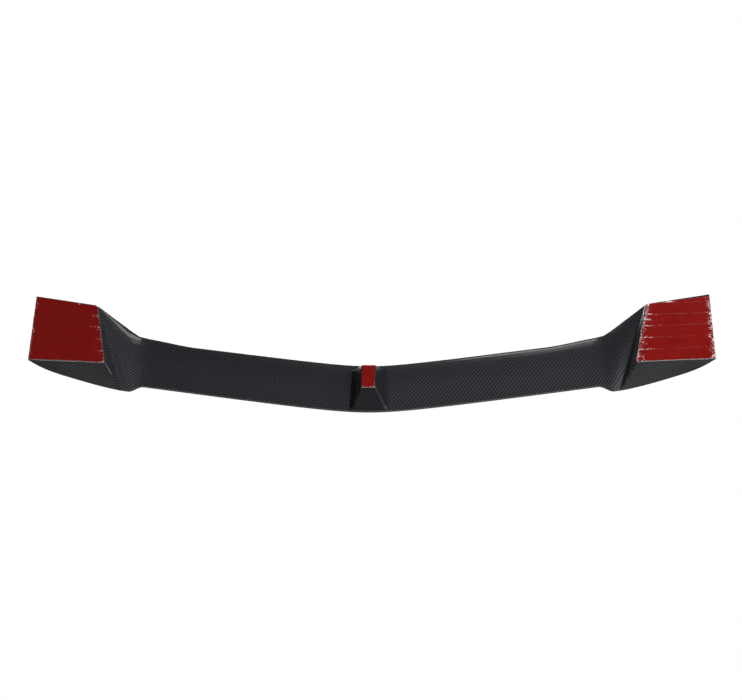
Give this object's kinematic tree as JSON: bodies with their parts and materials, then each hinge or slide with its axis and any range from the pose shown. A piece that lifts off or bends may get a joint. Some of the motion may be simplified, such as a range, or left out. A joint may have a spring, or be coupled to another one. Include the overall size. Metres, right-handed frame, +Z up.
{
  "type": "boot-lid rear wing",
  "caption": "Swept carbon-fibre boot-lid rear wing on two wedge feet and a centre post, stuck down with lined foam tape.",
  "frame": {"origin": "centre of the centre post's sticking face, on the liner's outer face, which is the plane of all the sticking faces", "axes": "+X across the car along the wing's span, -Y towards the rear of the car and the trailing edge, +Z up from the boot lid"},
  "size_m": [1.28, 0.2161, 0.066],
  "materials": {
    "carbon_laminate": "two-by-two twill carbon cloth under gloss clear coat",
    "resin": "dark bonding paste, smoothed and clear-coated",
    "core_foam": "cut rigid foam",
    "tape_foam": "pale matte closed-cell foam",
    "liner_film": "glossy red release film, creased at its ends"
  },
  "bodies": {
    "root": {"leading_edge_bond": "resin", "left_blade_core": "core_foam", "left_foot_base_plate": "carbon_laminate", "left_foot_core": "core_foam", "left_foot_rear_wall": "carbon_laminate", "left_pad_liner_1": "liner_film", "left_pad_liner_2": "liner_film", "left_pad_liner_3": "liner_film", "left_pad_liner_4": "liner_film", "left_pad_liner_5": "liner_film", "left_pad_liner_6": "liner_film", "left_pad_tape_1": "tape_foam", "left_pad_tape_2": "tape_foam", "left_pad_tape_3": "tape_foam", "left_pad_tape_4": "tape_foam", "left_pad_tape_5": "tape_foam", "left_pad_tape_6": "tape_foam", "lower_skin": "carbon_laminate", "post_liner": "liner_film", "post_shell": "carbon_laminate", "post_tape": "tape_foam", "right_blade_core": "core_foam", "right_foot_base_plate": "carbon_laminate", "right_foot_core": "core_foam", "right_foot_rear_wall": "carbon_laminate", "right_pad_liner_1": "liner_film", "right_pad_liner_2": "liner_film", "right_pad_liner_3": "liner_film", "right_pad_liner_4": "liner_film", "right_pad_liner_5": "liner_film", "right_pad_liner_6": "liner_film", "right_pad_tape_1": "tape_foam", "right_pad_tape_2": "tape_foam", "right_pad_tape_3": "tape_foam", "right_pad_tape_4": "tape_foam", "right_pad_tape_5": "tape_foam", "right_pad_tape_6": "tape_foam", "trailing_edge_bond": "resin", "upper_skin": "carbon_laminate"}
  },
  "joints": []
}
